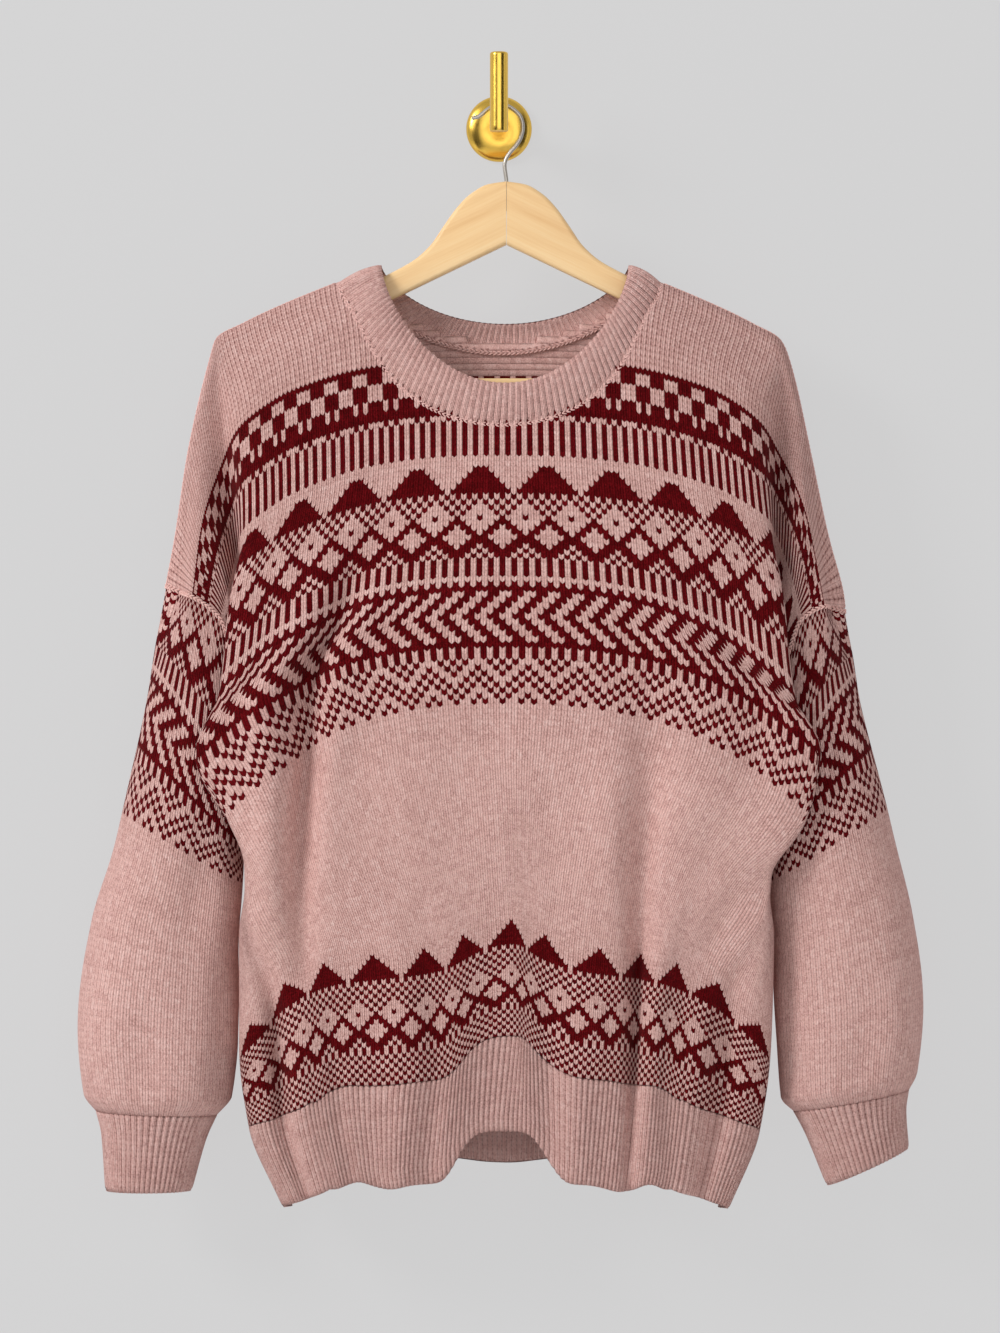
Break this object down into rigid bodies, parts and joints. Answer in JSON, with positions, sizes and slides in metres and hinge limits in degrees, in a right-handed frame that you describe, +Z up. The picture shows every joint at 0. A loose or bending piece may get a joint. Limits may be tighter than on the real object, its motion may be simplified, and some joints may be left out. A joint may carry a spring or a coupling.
{
  "type": "fair isle jumper on a wooden hanger hung from a brass wall hook",
  "caption": "Knitted crew neck jumper with long full sleeves, ribbed hem, cuffs and neckband, draped on a wooden coat hanger that hangs from a round wall hook with an upturned peg.",
  "frame": {"origin": "centre of the rosette's back face, on the wall plane, where the wall hook is screwed to the wall", "axes": "+Z up, +Y into the wall, +X to the right of someone who looks at the front of the jumper"},
  "size_m": [0.6349, 0.1085, 0.865],
  "materials": {
    "colourwork_knit": "stranded stocking stitch in heathered dusty pink and maroon wool",
    "pink_rib": "one by one rib in heathered dusty pink wool",
    "hanger_wood": "pale sanded birch",
    "steel_wire": "bright drawn wire",
    "brass_hook": "satin brushed"
  },
  "bodies": {
    "root": {"front": "colourwork_knit", "back": "colourwork_knit", "sleeve_left": "colourwork_knit", "sleeve_right": "colourwork_knit", "cuff_left": "pink_rib", "cuff_right": "pink_rib", "hem_rib_front": "pink_rib", "hem_rib_back": "pink_rib", "neckband": "pink_rib", "hanger_arm_left": "hanger_wood", "hanger_arm_right": "hanger_wood", "hanger_bar": "hanger_wood", "hanger_hook": "steel_wire", "wall_rosette": "brass_hook", "wall_peg": "brass_hook"}
  },
  "joints": []
}
